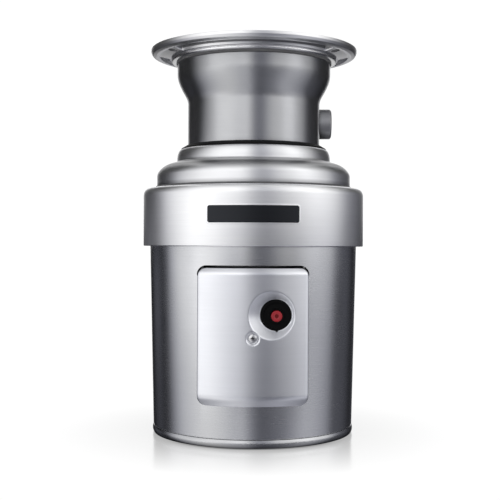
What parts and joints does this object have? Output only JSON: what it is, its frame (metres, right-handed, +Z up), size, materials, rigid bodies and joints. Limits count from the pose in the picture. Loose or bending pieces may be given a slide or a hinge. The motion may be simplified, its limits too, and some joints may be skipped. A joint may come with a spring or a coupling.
{
  "type": "food waste disposer",
  "caption": "Round stainless kitchen food waste disposer with a bolted sink flange, grinding disc with swivel impellers, motor and a red overload reset button.",
  "frame": {"origin": "on the vertical axis at the underside of the bottom pan", "axes": "+Z up along the axis to the sink flange, -Y towards the terminal cover, +X towards the water inlet"},
  "size_m": [0.2286, 0.265, 0.3953],
  "materials": {
    "flange_steel": "satin",
    "neck_steel": "satin",
    "boss_steel": "satin",
    "cover_steel": "satin",
    "band_steel": "satin",
    "shell_steel": "satin",
    "pan_steel": "satin",
    "panel_steel": "satin",
    "badge_metal": "satin",
    "screw_steel": "polished",
    "black_rubber": "matte",
    "box_paint": "matte",
    "black_plastic": "satin",
    "block_plastic": "matte",
    "brass_parts": "satin",
    "green_plating": "satin",
    "lead_insulation": "matte",
    "clamp_steel": "satin",
    "cast_alloy": "matte",
    "grind_steel": "satin",
    "rivet_steel": "satin",
    "pipe_alloy": "satin",
    "bearing_steel": "polished",
    "frame_paint": "satin",
    "core_steel": "matte",
    "copper_wire": "gloss",
    "cage_alloy": "satin",
    "shaft_steel": "polished",
    "red_plastic": "satin",
    "spring_steel": "polished"
  },
  "bodies": {
    "housing": {"top_flange": "flange_steel", "flange_gasket": "black_rubber", "neck": "neck_steel", "water_inlet_boss": "boss_steel", "isolation_gasket": "black_rubber", "upper_cover": "cover_steel", "cover_seal": "black_rubber", "centre_band": "band_steel", "badge_plate": "badge_metal", "lower_shell": "shell_steel", "bottom_pan": "pan_steel", "pan_screws": "screw_steel", "terminal_cover": "panel_steel", "cover_screw": "screw_steel", "terminal_box": "box_paint", "overload_protector": "black_plastic", "terminal_block": "block_plastic", "terminal_screws": "brass_parts", "ground_screw": "green_plating", "motor_leads": "lead_insulation", "start_capacitor": "black_plastic", "capacitor_clamp": "clamp_steel", "start_relay": "black_plastic", "hopper": "cast_alloy", "shredder_ring": "grind_steel", "chamber_gasket": "black_rubber", "drain_chamber": "cast_alloy", "joint_screws_set": "screw_steel", "drain_gasket": "black_rubber", "drain_flange": "pipe_alloy", "drain_screws": "screw_steel", "shaft_seal": "black_rubber", "upper_bearing_cup": "bearing_steel", "motor_frame": "frame_paint", "stator_core": "core_steel", "stator_windings": "copper_wire", "lower_end_bell": "cast_alloy", "lower_bearing": "brass_parts", "through_bolts": "screw_steel"},
    "rotor": {"motor_shaft": "shaft_steel", "rotor_core": "core_steel", "rotor_cage": "cage_alloy", "upper_bearing_cone": "bearing_steel", "water_slinger": "black_rubber", "shredder_disc": "grind_steel", "fixed_impellers": "grind_steel", "impeller_rivets": "rivet_steel", "swivel_pins": "rivet_steel", "disc_nut": "rivet_steel"},
    "swivel_a": {"swivel_impeller_a": "grind_steel"},
    "swivel_b": {"swivel_impeller_b": "grind_steel"},
    "button": {"reset_button": "red_plastic", "reset_spring": "spring_steel"}
  },
  "joints": [
    {"name": "rotor_spin", "type": "hinge", "parent": "housing", "child": "rotor", "pos_m": [0, 0, 0.242], "axis": [0, 0, 1], "continuous": true},
    {"name": "swivel_a_turn", "type": "hinge", "parent": "rotor", "child": "swivel_a", "pos_m": [0.057, 0, 0.246], "axis": [0, 0, 1], "continuous": true},
    {"name": "swivel_b_turn", "type": "hinge", "parent": "rotor", "child": "swivel_b", "pos_m": [-0.057, 0, 0.246], "axis": [0, 0, 1], "continuous": true},
    {"name": "button_press", "type": "slide", "parent": "housing", "child": "button", "axis": [0, 1, 0], "range_m": [0, 0.003], "stiffness_N_per_m": 400, "springref_m": -0.002, "deforming": ["reset_spring"]}
  ]
}
